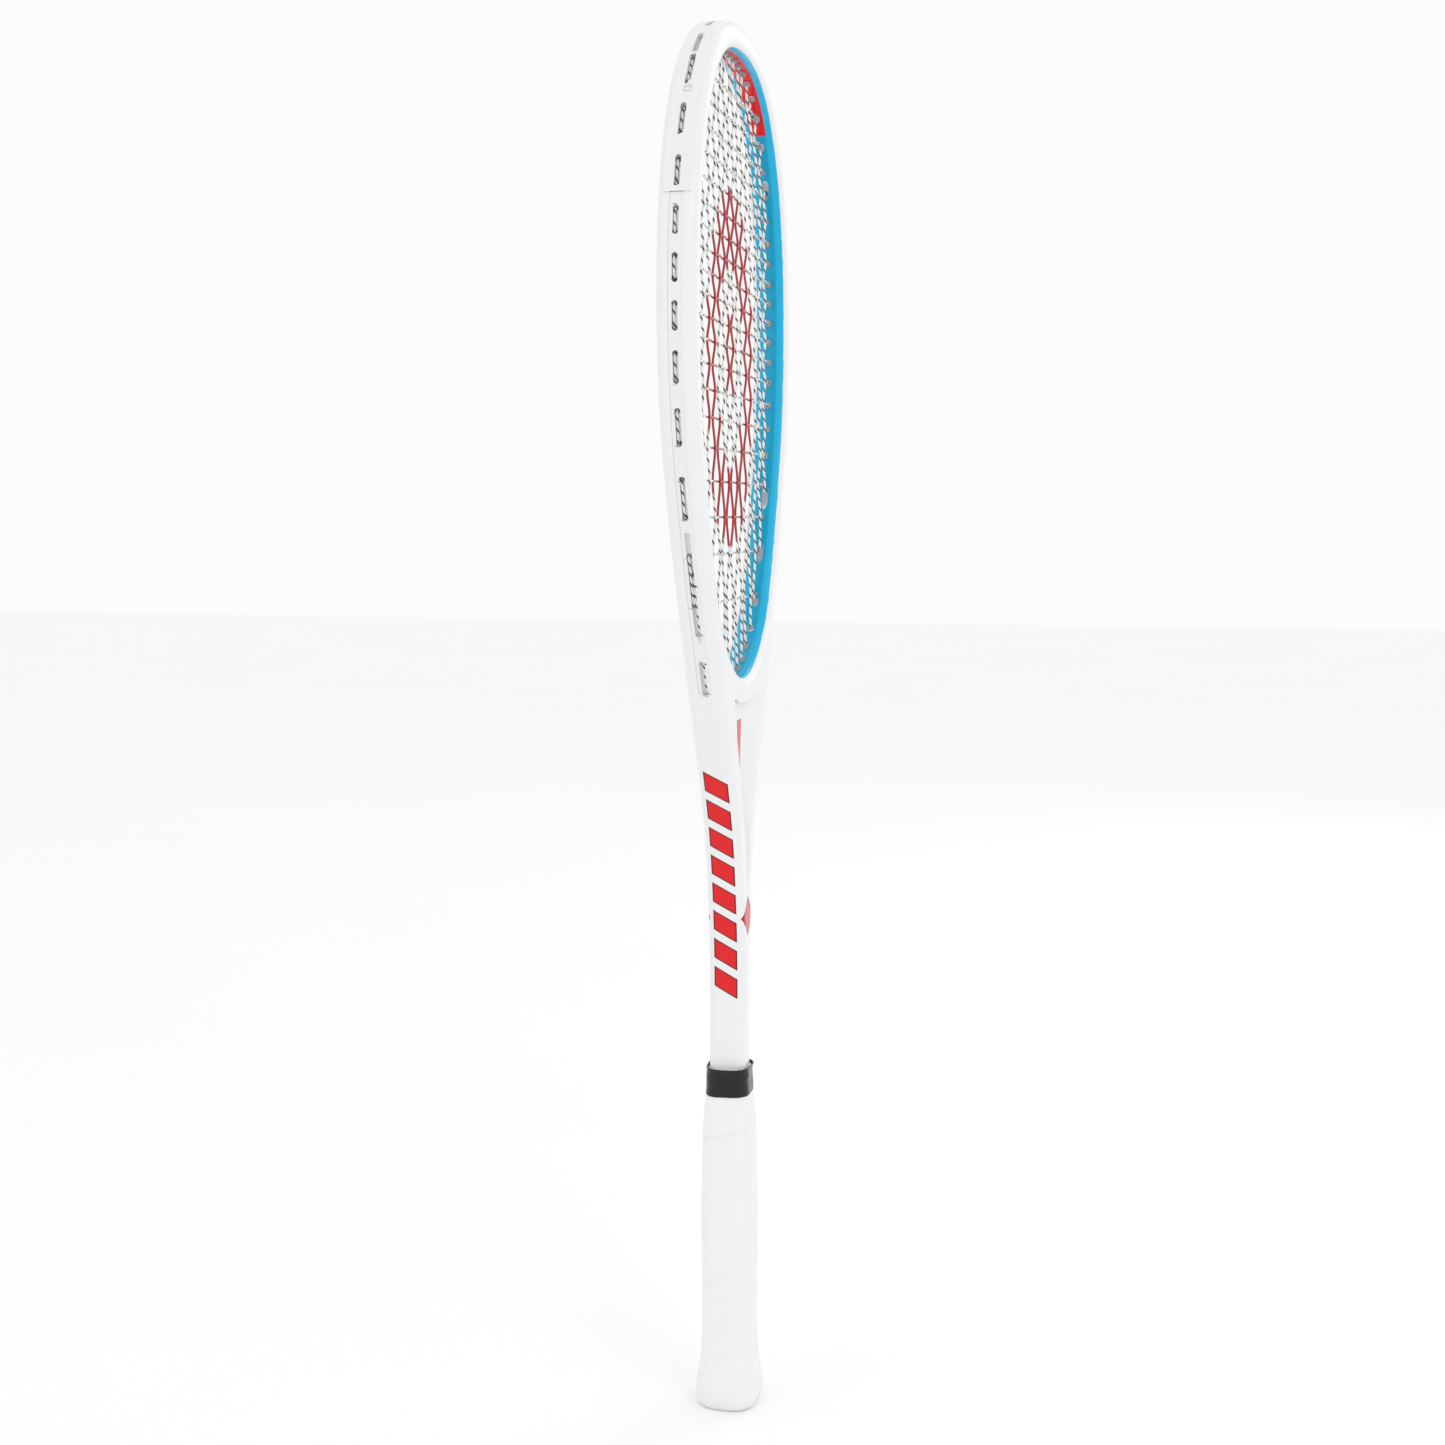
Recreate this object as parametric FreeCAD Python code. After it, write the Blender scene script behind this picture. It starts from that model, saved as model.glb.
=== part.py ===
"""A squash racket: moulded carbon frame, strings, grommet strips and a wrapped handle.

Frame of the part: the handle and shaft run up +Z, the head is widest along X,
and the string bed lies in the plane Y = 0. The origin is the centre of the butt end.
All sizes are in millimetres.
"""
import FreeCAD, Part
import math
import os

from FreeCAD import Vector

# Head and frame
LENGTH = 685.4            # butt end to the frame's tip; the bumper makes it 686, or 27 inches
HEAD_WIDTH = 215.0        # widest point, outside to outside
WIDEST_Z = 545.0          # height of the widest point
BEAM = 18.6               # frame thickness across the string bed
RIM_DEPTH = 12.5          # rim size in the plane of the strings
CROWN_POWER = 2.3         # 2 is an ellipse, more is squarer
EDGE_ROUND = 5.4          # rounding of the frame's long edges
WALL = 1.5                # laminate thickness
ROUND_STEPS = 4           # sections in each rounded edge
BRIDGE_Z = 375.5          # inside bottom of the hoop
HALF_WIDTH = HEAD_WIDTH / 2
HALF_BEAM = BEAM / 2

# Shaft and throat
SHAFT_WIDTH = 17.8
SHAFT_BOTTOM = 6.0
NECK_Z = 225.0            # where the throat starts to flare
SCOOP_FLOOR = 4.6         # height of the throat hollow's floor above the mid plane
SCOOP_SHARE = 0.3         # width of the hollow's floor as a share of its mouth
# Outside edge of one arm, as (half width, height), from the shaft up to the widest point
ARM = [(SHAFT_WIDTH / 2, NECK_Z), (11.6, 258), (20.5, 300), (37.5, 340), (56.5, 380),
       (74.5, 418), (90.0, 456), (103.0, 500), (HALF_WIDTH, WIDEST_Z)]
# Inside edge of the hoop round the bridge, as (half width, height)
BRIDGE = [(0.0, BRIDGE_Z), (22.0, 380.5), (41.0, 392.5), (55.0, 407.5)]
BRIDGE_DEPTH = 11.0
BRIDGE_REACH = 42.0       # half length of the bridge between its joints
# Outline of the throat hollow, as (half width, height)
SCOOP = [(31.5, 366.8), (27.5, 349.0), (19.0, 328.0), (10.8, 307.0), (4.8, 288.0)]
SCOOP_TIP_Z = 266.0
SCOOP_TOP_Z = 363.2

# String channel, grommet strips and strings
CHANNEL_HALF = 3.1
CHANNEL_DEPTH = 3.0
CHANNEL_END_Z = 369.0
STRIP_HALF = 3.05
STRIP_TOP = 0.3           # strip surface below the rim
SLOT_HALF = 1.35
SLOT_FLOOR = 2.15         # slot floor below the rim
BARREL_R = 1.7
BARREL_BORE_R = 0.85
BARREL_PROUD = 1.3        # barrel end above the inside of the rim
BRIDGE_BARREL = 10.0
STRING_R = 0.62
STRING_OFFSET = 0.63      # mains lie on +Y and crosses on -Y of the mid plane
STRING_BEND = 1.9
KNOT_RING_R = 1.3
KNOT_WIRE_R = 0.64
KNOT_PITCH = 1.05
KNOT_RINGS = 3
BUMPER_END_Z = 594.0
BUMPER_HALF = 6.4
BUMPER_PROUD = 0.6
BUMPER_ROUND = 0.7
MAIN_X = [4.6, 14.0, 23.8, 34.0, 45.0, 56.5, 68.5, 80.0]
CROSS_Z = [656.5, 644.0, 632.0, 620.0, 608.4, 597.2, 586.8, 576.6, 566.4, 556.2, 546.0, 535.6,
           524.8, 513.0, 500.2, 486.2, 470.6, 453.6, 436.0, 413.0]
# Heights where the outer mains leave through the arms, by main number
MAIN_EXIT_Z = {4: 371.5, 5: 386.0, 6: 400.0, 7: 423.0}
FIRST_CROSS_TIE_X = 62.5  # the first cross is tied off between two mains
INSIDE_MAINS = 4          # mains each side that turn inside the throat
LAST_MAIN_TIE_Z = 638.5   # the last main is tied off between two crosses
WINDOW = (400.0, 446.0)   # the strip's long window, where the outer mains and crosses share it

# Handle
GRIP_WALL = 1.7
GRIP_ROUND = 0.74         # corner radius as a share of the section's smaller half
GRIP_EXTRA_X = 1.5        # the handle is this much wider, each side, in the string plane
# Outside of the grip, as (height, half thickness)
GRIP = [(2.2, 15.0), (6.5, 16.1), (18.0, 14.8), (31.0, 13.4), (62.0, 13.1), (122.0, 13.1),
        (144.0, 12.6), (158.0, 11.6), (163.5, 10.7), (176.0, 10.3)]
GRIP_TOP_Z = 176.0
PALLET_TOP_Z = 150.0
PALLET_BOTTOM_Z = 4.0
CAP_TOP_Z = 24.0
CAP_WALL = 1.4
CAP_FLOOR = 3.0
CAP_EDGE = 2.0            # rounding of the butt end's edge
BADGE_R = 8.0
BADGE_DEPTH = 1.4
BADGE_RECESS = 0.3
TAPE_BOTTOM_Z = 163.3
TAPE_TOP_Z = 177.5
TAPE_HALF = [(TAPE_BOTTOM_Z, 11.2), (TAPE_TOP_Z, 10.7)]
STAPLE_Z = 14.0
STAPLE_SPAN = 9.0
STAPLE_WIRE = 0.7
STAPLE_LEG = 5.0

FAR = 400.0               # larger than any tool needs to be
UP = Vector(0, 0, 1)
ACROSS = Vector(0, 1, 0)


def plan(x, z, y=0.0):
    """A point given by its place in the string plane."""
    return Vector(x, y, z)


def crown_points(count=6):
    """Points of the rim's outer edge from the widest point to the tip, on a superellipse."""
    power = 2 / CROWN_POWER
    rise = LENGTH - WIDEST_Z
    points = []
    for i in range(1, count + 1):
        angle = math.pi / 2 * i / count
        across = HALF_WIDTH * max(math.cos(angle), 0.0) ** power
        points.append((across if i < count else 0.0, WIDEST_Z + rise * math.sin(angle) ** power))
    return points


def spline(points, closed=False):
    curve = Part.BSplineCurve()
    curve.interpolate(points, PeriodicFlag=closed)
    return curve


def outer_curve():
    """The frame's outside edge, from the right of the shaft over the tip to its left."""
    straight = [(SHAFT_WIDTH / 2, NECK_Z - lower) for lower in (43, 29, 15)]
    right = straight + ARM + crown_points()
    points = [plan(x, z) for x, z in right] + [plan(-x, z) for x, z in reversed(right[:-1])]
    return spline(points)


def offset_points(curve, distance, count):
    """Points along a curve in the string plane, moved towards the middle of the head."""
    first, last = curve.FirstParameter, curve.LastParameter
    points = []
    for i in range(count):
        at = first + (last - first) * i / (count - 1)
        along = curve.tangent(at)[0]
        inward = along.cross(ACROSS).normalize()
        points.append(curve.value(at) + inward * distance)
    return points


OUTER = outer_curve()


def outer_offset(inward, count=61):
    """The outside edge moved inward, or outward when the distance is negative."""
    if inward == 0:
        return OUTER
    return spline(offset_points(OUTER, inward, count))


def half_width(curve, z):
    """Half width of a symmetric outline at a height, by bisection along its right half."""
    low, high = curve.FirstParameter, (curve.FirstParameter + curve.LastParameter) / 2
    for _ in range(50):
        mid = (low + high) / 2
        if curve.value(mid).z < z:
            low = mid
        else:
            high = mid
    return curve.value(low).x


def height_at(curve, x):
    """Height of the rim's upper half above a place across the head."""
    low = curve.FirstParameter + 0.01
    for step in range(400):
        at = curve.FirstParameter + (curve.LastParameter - curve.FirstParameter) * step / 400
        if curve.value(at).z >= WIDEST_Z:
            low = at
            break
    high = (curve.FirstParameter + curve.LastParameter) / 2
    for _ in range(50):
        mid = (low + high) / 2
        if curve.value(mid).x > x:
            low = mid
        else:
            high = mid
    return curve.value(low).z


def inner_points():
    """The inside edge of the hoop as a closed, symmetric ring of points."""
    inset = outer_offset(RIM_DEPTH)
    first, last = inset.FirstParameter, inset.LastParameter
    side = []
    for i in range(200):
        point = inset.value(first + (last - first) * i / 400)
        if point.z > BRIDGE[-1][1] + 12 and (not side or (point - side[-1]).Length > 24):
            side.append(point)
    right = [plan(x, z) for x, z in BRIDGE[1:]] + [p for p in side if p.x > 9]
    left = [Vector(-p.x, 0, p.z) for p in reversed(right)]
    return [plan(*BRIDGE[0])] + right + [plan(0, LENGTH - RIM_DEPTH)] + left


INNER = spline(inner_points(), closed=True)


def inner_offset(outward, count=73):
    """The hoop's inside edge moved out into the rim."""
    if outward == 0:
        return INNER
    return spline(offset_points(INNER, -outward, count)[:-1], closed=True)


def slab(wire, half):
    """A flat outline given the same thickness each side of the string plane."""
    face = Part.Face(wire)
    face.translate(Vector(0, -half, 0))
    return face.extrude(Vector(0, 2 * half, 0))


def outer_wire(inset, bottom=None):
    """Closed outline of the frame without its head opening, moved inward."""
    curve = outer_offset(inset)
    start, end = curve.value(curve.FirstParameter), curve.value(curve.LastParameter)
    if bottom is None:
        return Part.Wire([curve.toShape(), Part.LineSegment(end, start).toShape()])
    low_right, low_left = plan(start.x, bottom), plan(end.x, bottom)
    edges = [Part.LineSegment(low_right, start).toShape(), curve.toShape(),
             Part.LineSegment(end, low_left).toShape(), Part.LineSegment(low_left, low_right).toShape()]
    return Part.Wire(edges)


def inner_wire(outward):
    return Part.Wire(inner_offset(outward).toShape())


def layers(wire_at, half, radius):
    """A rounded upper layer and a straight-sided middle layer with one outline.

    wire_at gives the outline moved back by a distance, for the rounding.
    """
    wires = []
    for i in range(ROUND_STEPS + 1):
        angle = math.pi / 2 * i / ROUND_STEPS
        wire = wire_at(radius * (1 - math.cos(angle)))
        wire.translate(Vector(0, half - radius + radius * math.sin(angle), 0))
        wires.append(wire)
    return Part.makeLoft(wires, True, False), slab(wire_at(0), half - radius)


def rounded(wire_at, half, radius):
    upper, middle = layers(wire_at, half, radius)
    return middle.fuse([upper, mirror_y(upper)])


def frame_body(skin, bottom):
    """The hoop, throat and shaft, or the space inside them when skin is the wall thickness."""
    half, radius = HALF_BEAM - skin, EDGE_ROUND - skin
    upper, middle = layers(lambda inset: outer_wire(skin + inset, bottom), half, radius)
    hole, hole_middle = layers(lambda inset: inner_wire(skin + inset), half, radius)
    upper = upper.cut(hole)
    return middle.cut(hole_middle).fuse([upper, mirror_y(upper)])


def shaft_bar():
    """The shaft's outside as a solid bar, for cutting what fits round it."""
    def outline(inset):
        x, top = SHAFT_WIDTH / 2 - inset, NECK_Z - 5
        return Part.makePolygon([plan(x, -5), plan(x, top), plan(-x, top), plan(-x, -5), plan(x, -5)])
    return rounded(outline, HALF_BEAM, EDGE_ROUND)


def scoop_wire(share, spread, top, tip, y):
    """Outline of the throat hollow at one depth; share narrows it and spread widens it."""
    right = [plan(x * share + spread, z + 0.3 * spread - (SCOOP_TOP_Z - top), y) for x, z in SCOOP]
    left = [Vector(-p.x, y, p.z) for p in right]
    side = Part.BSplineCurve()
    side.interpolate(right + [plan(0, tip, y)] + list(reversed(left)))
    lid = Part.Arc(right[0], plan(0, top + spread, y), left[0]).toShape()
    return Part.Wire([side.toShape(), lid])


def scoop(spread, floor):
    """The hollow's cutting tool on the +Y face, a shallow V; spread makes it larger all round."""
    base = scoop_wire(SCOOP_SHARE, spread, SCOOP_TOP_Z - 2.0, SCOOP_TIP_Z + 12.0 - spread, floor)
    mouth = scoop_wire(1.0, spread, SCOOP_TOP_Z, SCOOP_TIP_Z - spread, HALF_BEAM + 0.6)
    return Part.makeLoft([base, mouth], True, True)


def mirror_y(shape):
    return shape.mirror(Vector(0, 0, 0), ACROSS)


def band(depth_from, depth_to, half, low_z, end_r=0.0):
    """A band along the rim's outside edge, above a height, with rounded ends."""
    body = slab(outer_wire(depth_from), half).cut(slab(outer_wire(depth_to), half + 1))
    body = above(body, low_z + end_r)
    if end_r:
        body = body.fuse([end_post(low_z + end_r, side, end_r, depth_from, depth_to) for side in (1, -1)])
    return body


def slice_z(shape, low, high):
    return shape.common(Part.makeBox(2 * FAR, 2 * FAR, high - low, Vector(-FAR, -FAR, low)))


def above(shape, z):
    return slice_z(shape, z, z + 2 * FAR)


def end_post(z, side, radius, depth_from, depth_to):
    """The round end of a channel: a short post square to the rim's edge."""
    at = half_width(OUTER, z)
    slope = half_width(OUTER, z + 1) - at
    out = Vector(side, 0, -slope).normalize()
    start = Vector(side * at, 0, z) - out * depth_to
    return Part.makeCylinder(radius, depth_to - depth_from, start, out)


def on_inner_edge(x=None, z=None, upper=True):
    """Where a string's line meets the hoop's inside edge, on the right half."""
    first, last = INNER.FirstParameter, INNER.LastParameter
    best, nearest = None, FAR
    for i in range(2001):
        point = INNER.value(first + (last - first) * i / 2000)
        if point.x < -0.5 or (x is not None and (point.z > WIDEST_Z) != upper):
            continue
        gap = abs(point.x - x) if x is not None else abs(point.z - z)
        if gap < nearest:
            best, nearest = point, gap
    return Vector(x, 0, best.z) if x is not None else Vector(best.x, 0, z)


SEAT = outer_offset(SLOT_FLOOR - STRING_R)      # where the strings' outside runs lie
BRIDGE_SEAT_DROP = RIM_DEPTH + 1.6              # bottom string turns below the bridge's inside


def flip(point):
    return Vector(-point.x, point.y, point.z)


def on_side(points, side):
    return points if side > 0 else [flip(point) for point in points]


def main_ends(number, side=1):
    """(top entry, top exit, bottom entry, bottom exit) of a main."""
    x = MAIN_X[number]
    top, top_exit = on_inner_edge(x=x), Vector(x, 0, height_at(SEAT, x))
    bottom = on_inner_edge(x=x, upper=False)
    if side > 0 and number == len(MAIN_X) - 1:
        top_exit = Vector(half_width(SEAT, LAST_MAIN_TIE_Z), 0, LAST_MAIN_TIE_Z)
    if number < INSIDE_MAINS:
        bottom_exit = Vector(x, 0, bottom.z - BRIDGE_SEAT_DROP)
    else:
        z = MAIN_EXIT_Z[number]
        bottom_exit = Vector(half_width(SEAT, z), 0, z)
    return on_side([top, top_exit, bottom, bottom_exit], side)


def cross_ends(number, side=1):
    """(entry, exit) of a cross."""
    z = CROSS_Z[number]
    leave = Vector(half_width(SEAT, z), 0, z)
    if number == 0 and side < 0:
        leave = Vector(FIRST_CROSS_TIE_X, 0, height_at(SEAT, FIRST_CROSS_TIE_X))
    return on_side([on_inner_edge(z=z), leave], side)


def main_route():
    """The main string as one route, up and down every main from left to right."""
    last = len(MAIN_X) - 1
    order = [(i, -1) for i in range(last, -1, -1)] + [(i, 1) for i in range(last + 1)]
    route, upward = [], False
    for number, side in order:
        top, top_exit, bottom, bottom_exit = main_ends(number, side)
        run = [bottom_exit, bottom, top, top_exit]
        route += run if upward else list(reversed(run))
        upward = not upward
    return route


def cross_route():
    """The cross string as one route, from the tip's left down to the last cross."""
    route, rightward = [], True
    for number in range(len(CROSS_Z)):
        entry, leave = cross_ends(number)
        far_entry, far_leave = cross_ends(number, -1)
        run = [far_leave, far_entry, entry, leave]
        route += run if rightward else list(reversed(run))
        rightward = not rightward
    return route


def tied_route(route):
    """The route with its two ends carried on through their knots."""
    first, last = (route[0] - route[1]).normalize(), (route[-1] - route[-2]).normalize()
    reach = KNOT_RINGS * KNOT_PITCH
    return [route[0] + first * reach] + route[1:-1] + [route[-1] + last * reach]


def knot_places():
    """Where the four string ends are tied off: (place, direction outward)."""
    places = []
    for route, y in ((main_route(), STRING_OFFSET), (cross_route(), -STRING_OFFSET)):
        for end, inner in ((route[0], route[1]), (route[-1], route[-2])):
            places.append((end + Vector(0, y, 0), (end - inner).normalize()))
    return places


def without_kinks(points):
    """Leaves out points that lie on the straight line between their neighbours."""
    kept = [points[0]]
    for before, point, after in zip(points, points[1:], points[2:]):
        turn = (point - before).normalize().cross((after - point).normalize()).Length
        if turn > 0.01:
            kept.append(point)
    return kept + [points[-1]]


def string_solid(points, y):
    """A round string along straight runs joined by tangent arcs."""
    points = without_kinks(points)
    edges, start = [], points[0]
    for before, corner, after in zip(points, points[1:], points[2:]):
        into, away = (before - corner).normalize(), (after - corner).normalize()
        half_turn = (math.pi - into.getAngle(away)) / 2
        room = 0.45 * min((before - corner).Length, (after - corner).Length)
        cut = min(STRING_BEND * math.tan(half_turn), room)
        radius = cut / math.tan(half_turn)
        first, last = corner + into * cut, corner + away * cut
        inward = (into + away).normalize()
        reach = radius / math.cos(half_turn)
        middle = corner + inward * (reach - radius)
        edges.append(Part.LineSegment(start, first).toShape())
        edges.append(Part.Arc(first, middle, last).toShape())
        start = last
    edges.append(Part.LineSegment(start, points[-1]).toShape())
    path = Part.Wire(edges)
    along = (points[1] - points[0]).normalize()
    section = Part.Wire(Part.Circle(points[0], along, STRING_R).toShape())
    solid = path.makePipeShell([section], True, False)
    solid.translate(Vector(0, y, 0))
    return solid


def knot(place, along):
    """A hitch knot: a few turns of string pulled tight round the string's end."""
    rings = [Part.makeTorus(KNOT_RING_R, KNOT_WIRE_R, place + along * (KNOT_PITCH * i), along)
             for i in range(KNOT_RINGS)]
    return rings[0].fuse(rings[1:])


def knot_room(place, along):
    """The space a knot takes out of the grommet strip."""
    return Part.makeCylinder(KNOT_RING_R + KNOT_WIRE_R + 0.1, 9, place - along * 0.7, along)


def barrel(entry, leave, y):
    """A grommet barrel round a string hole, standing a little proud inside the hoop."""
    along = (entry - leave).normalize()
    start = leave + Vector(0, y, 0)
    return Part.makeCylinder(BARREL_R, (entry - leave).Length + BARREL_PROUD, start, along)


def barrel_bore(entry, leave, y):
    """The string's way through a barrel, with a flared mouth at its outer end."""
    along = (entry - leave).normalize()
    start = leave + Vector(0, y, 0)
    bore = Part.makeCylinder(BARREL_BORE_R, (entry - leave).Length + 20, start - along * 8, along)
    mouth = Part.makeCone(2.1, BARREL_BORE_R, 3.2, start - along * 1.0, along)
    return bore.fuse(mouth)


def string_holes():
    """Every hole in the frame: (group, entry, exit, string offset)."""
    holes = []
    for side in (1, -1):
        for number in range(len(MAIN_X)):
            top, top_exit, bottom, bottom_exit = main_ends(number, side)
            holes.append(("bumper", top, top_exit, STRING_OFFSET))
            group = "side"
            if number < INSIDE_MAINS:
                group, bottom_exit = "bridge", bottom - UP * BRIDGE_BARREL
            holes.append((group, bottom, bottom_exit, STRING_OFFSET))
        for number in range(len(CROSS_Z)):
            entry, leave = cross_ends(number, side)
            group = "bumper" if leave.z > BUMPER_END_Z else "side"
            holes.append((group, entry, leave, -STRING_OFFSET))
    return holes


def slot_tool(start, end):
    """A window in the strip for one outside run of string, with round ends."""
    span = end - start
    along = Vector(span).normalize()
    out = along.cross(ACROSS)
    if out.dot(Vector(start.x, 0, start.z - WIDEST_Z)) < 0:
        out = out * -1
    deep = start - out * STRING_R * 1.1
    body = Part.makeBox(span.Length, 2 * SLOT_HALF, 2 * CHANNEL_DEPTH)
    body.translate(Vector(0, -SLOT_HALF, 0))
    turn = FreeCAD.Placement(deep, FreeCAD.Rotation(along, out.cross(along), out, "XZY"))
    body.Placement = turn.multiply(body.Placement)
    posts = [Part.makeCylinder(SLOT_HALF, 2 * CHANNEL_DEPTH, p - out * STRING_R * 1.1, out)
             for p in (start, end)]
    return body.fuse(posts)


def outside_runs():
    """The stretches of string that show in the channel, as (start, end)."""
    runs = []
    for i in range(len(CROSS_Z) - 1):
        side = 1 if i % 2 == 0 else -1
        runs.append((cross_ends(i, side)[1], cross_ends(i + 1, side)[1]))
    for side in (1, -1):
        ends = [main_ends(i, side) for i in range(len(MAIN_X))]
        runs += [(ends[i][1], ends[i + 1][1]) for i in (1, 3, 5)]
        runs += [(ends[i][3], ends[i + 1][3]) for i in (4, 6)]
        runs.append(on_side([Vector(half_width(SEAT, z), 0, z) for z in WINDOW], side))
    runs.append((main_ends(0)[1], main_ends(0, -1)[1]))
    return runs


def rounded_section(half_x, half_y, radius, z):
    """A rounded rectangle across the handle."""
    corners = [(1, 1), (-1, 1), (-1, -1), (1, -1)]
    edges, first, previous = [], None, None
    for sx, sy in corners:
        cx, cy = sx * (half_x - radius), sy * (half_y - radius)
        on_x, on_y = Vector(sx * half_x, cy, z), Vector(cx, sy * half_y, z)
        k = radius * math.sqrt(0.5)
        middle = Vector(cx + sx * k, cy + sy * k, z)
        start, end = (on_x, on_y) if sx * sy > 0 else (on_y, on_x)
        if previous is not None:
            edges.append(Part.LineSegment(previous, start).toShape())
        else:
            first = start
        edges.append(Part.Arc(start, middle, end).toShape())
        previous = end
    edges.append(Part.LineSegment(previous, first).toShape())
    return Part.Wire(edges)


def handle_loft(profile, shrink=0.0, ruled=False):
    wires = []
    for z, half in profile:
        half_y = half - shrink
        wires.append(rounded_section(half_y + GRIP_EXTRA_X, half_y, half_y * GRIP_ROUND, z))
    return Part.makeLoft(wires, True, ruled)


def staple(side):
    """A wire staple driven in from one wide side of the butt cap."""
    reach = 15.3 - GRIP_WALL + GRIP_EXTRA_X + 0.3
    crown = Part.makeBox(STAPLE_WIRE, STAPLE_SPAN, STAPLE_WIRE,
                         Vector(reach - STAPLE_WIRE, -STAPLE_SPAN / 2, STAPLE_Z))
    legs = [Part.makeBox(STAPLE_LEG, STAPLE_WIRE, STAPLE_WIRE, Vector(reach - STAPLE_LEG, y, STAPLE_Z))
            for y in (-STAPLE_SPAN / 2, STAPLE_SPAN / 2 - STAPLE_WIRE)]
    solid = crown.fuse(legs)
    return solid if side > 0 else solid.rotated(Vector(0, 0, 0), UP, 180)


def handle_parts():
    """Pallets, butt cap, badge, staples, grip and finishing tape."""
    core = shaft_bar()
    top_down = GRIP[1:]
    outside = handle_loft(GRIP)
    inside = handle_loft([(0.0, GRIP[0][1])] + top_down, GRIP_WALL)
    cap_inside = handle_loft([(0.0, GRIP[0][1])] + top_down, GRIP_WALL + CAP_WALL)
    grip = outside.cut(slice_z(inside, -1, PALLET_TOP_Z)).cut(core)
    foot = handle_loft([(0.0, GRIP[0][1] - CAP_EDGE), (0.8, GRIP[0][1] - CAP_EDGE / 3), (2.2, GRIP[0][1])])
    cap = slice_z(inside, GRIP[0][0], CAP_TOP_Z).fuse(foot)
    cap = cap.cut(slice_z(cap_inside, CAP_FLOOR, CAP_TOP_Z + 1))
    cap = cap.cut(Part.makeCylinder(BADGE_R, BADGE_RECESS + BADGE_DEPTH))
    badge = Part.makeCylinder(BADGE_R, BADGE_DEPTH, Vector(0, 0, BADGE_RECESS))
    body = slice_z(inside, CAP_TOP_Z, PALLET_TOP_Z).fuse(slice_z(cap_inside, PALLET_BOTTOM_Z, CAP_TOP_Z))
    body = body.removeSplitter().cut(core)
    staples = [staple(1), staple(-1)]
    cap, body, grip = cap.cut(staples), body.cut(staples), grip.cut(staples)
    half_space = Part.makeBox(2 * FAR, FAR, 2 * FAR, Vector(-FAR, 0, -FAR))
    tape = handle_loft(TAPE_HALF, ruled=True).cut([slice_z(outside, 0, GRIP_TOP_Z), core])
    return {"handle_pallet_front": body.common(half_space), "handle_pallet_rear": body.cut(half_space),
            "butt_cap": cap, "butt_cap_badge": badge, "butt_cap_staples": Part.Compound(staples),
            "grip_wrap": grip, "finishing_tape": tape}




def grommet_parts(holes, solid_frame):
    """The bumper guard, the two side strips and the bridge barrels."""
    barrels, bores = {"bumper": [], "side": [], "bridge": []}, []
    for group, entry, leave, y in holes:
        barrels[group].append(barrel(entry, leave, y))
        bores.append(barrel_bore(entry, leave, y))
    slots = [slot_tool(start, end) for start, end in outside_runs()]
    openings = bores + slots + [knot_room(place, along) for place, along in knot_places()]
    cover = rounded(lambda inset: outer_wire(inset - BUMPER_PROUD), BUMPER_HALF, BUMPER_ROUND)
    cover = above(cover, BUMPER_END_Z).cut(slab(outer_wire(RIM_DEPTH / 2), BEAM)).cut(solid_frame)
    core = band(-0.1, CHANNEL_DEPTH, STRIP_HALF, BUMPER_END_Z)
    guard = cover.fuse([core] + barrels["bumper"]).cut(openings)
    strips = band(STRIP_TOP, CHANNEL_DEPTH, STRIP_HALF, CHANNEL_END_Z + 0.05, STRIP_HALF)
    strips = slice_z(strips, 0, BUMPER_END_Z - 0.2)
    strips = strips.fuse(barrels["side"]).cut(openings)
    sides = sorted(strips.Solids, key=lambda solid: solid.CenterOfMass.x)
    bridge = Part.Compound(barrels["bridge"]).cut(openings)
    return {"bumper_guard": guard, "grommet_strip_left": sides[0], "grommet_strip_right": sides[-1],
            "throat_grommets": bridge}


def frame_parts(holes):
    """The hollow frame and the bridge across its throat."""
    body = frame_body(0, SHAFT_BOTTOM)
    hollow = frame_body(WALL, SHAFT_BOTTOM - 1)
    wide, narrow = scoop(WALL, SCOOP_FLOOR - WALL), scoop(0, SCOOP_FLOOR)
    buried = band(-2, CHANNEL_DEPTH + WALL, CHANNEL_HALF + WALL, CHANNEL_END_Z - WALL)
    hollow = hollow.cut([wide, mirror_y(wide), buried])
    channel = band(-2, CHANNEL_DEPTH, CHANNEL_HALF, CHANNEL_END_Z, CHANNEL_HALF)
    drills = []
    for group, entry, leave, y in holes:
        along = (entry - leave).normalize()
        start = leave + Vector(0, y, 0)
        drills.append(Part.makeCylinder(BARREL_R + 0.05, (entry - leave).Length + 4, start, along))
    frame = body.cut([narrow, mirror_y(narrow), channel]).cut(hollow).cut(drills)
    zone = slab(inner_wire(BRIDGE_DEPTH), BEAM).cut(slab(inner_wire(-1), BEAM + 1))
    zone = zone.common(Part.makeBox(2 * BRIDGE_REACH, FAR, 60, Vector(-BRIDGE_REACH, -FAR / 2, 360)))
    bridge = max(frame.common(zone).Solids, key=lambda solid: solid.Volume)
    return body, {"frame": frame.cut(bridge), "throat_bridge": bridge}


def string_parts():
    """The two strings and the knots that tie off their ends."""
    knots = [knot(place, along) for place, along in knot_places()]
    return {"main_string": string_solid(tied_route(main_route()), STRING_OFFSET),
            "cross_string": string_solid(tied_route(cross_route()), -STRING_OFFSET),
            "string_knots": Part.Compound(knots)}


def save(name, shape):
    solids = shape.Solids
    whole = solids[0] if len(solids) == 1 else Part.Compound(solids)
    bad = len([solid for solid in solids if not solid.isValid()])
    print(f"{name:24s} solids {len(solids):3d}  volume {whole.Volume:10.1f}  invalid {bad}")
    whole.exportStep(os.path.join("parts", name + ".step"))


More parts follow.
